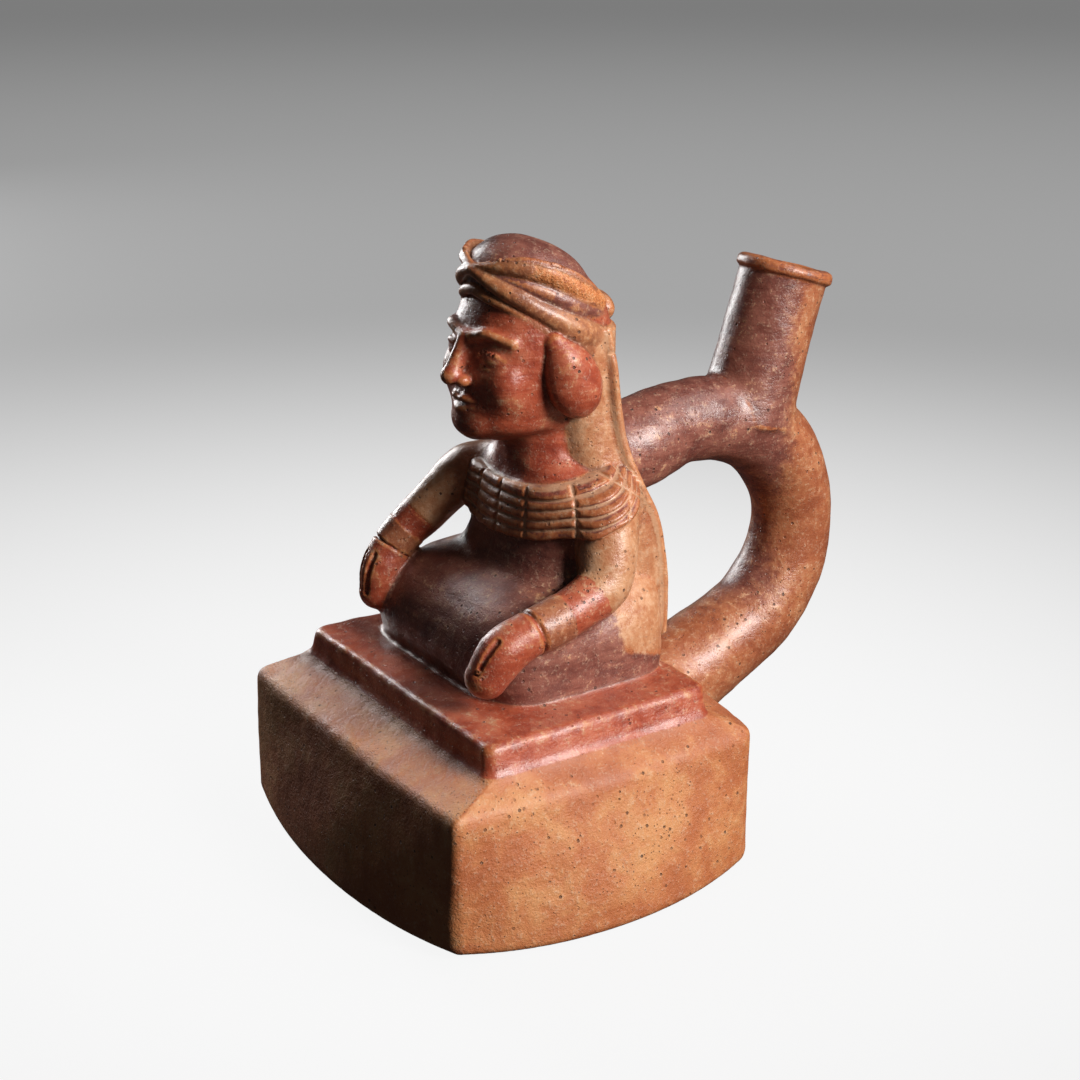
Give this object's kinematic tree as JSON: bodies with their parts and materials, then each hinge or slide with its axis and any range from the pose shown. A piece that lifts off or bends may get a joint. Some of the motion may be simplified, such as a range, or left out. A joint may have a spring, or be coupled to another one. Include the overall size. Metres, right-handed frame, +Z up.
{
  "type": "stirrup spout vessel",
  "caption": "Hollow fired-clay vessel: seated figure on a slab over a box-shaped chamber, with a looped stirrup tube and leaning spout behind.",
  "frame": {"origin": "middle of the underside, on the surface that the vessel stands on", "axes": "+Z up; -Y is the way the figure faces; +X is the figure's left; the stirrup and spout stand at +Y in the plane X = 0"},
  "size_m": [0.1423, 0.1926, 0.1887],
  "materials": {
    "burnished_clay": "hand-burnished red and purple-brown slip over orange-brown clay, worn and speckled"
  },
  "bodies": {
    "root": {"vessel": "burnished_clay"}
  },
  "joints": []
}
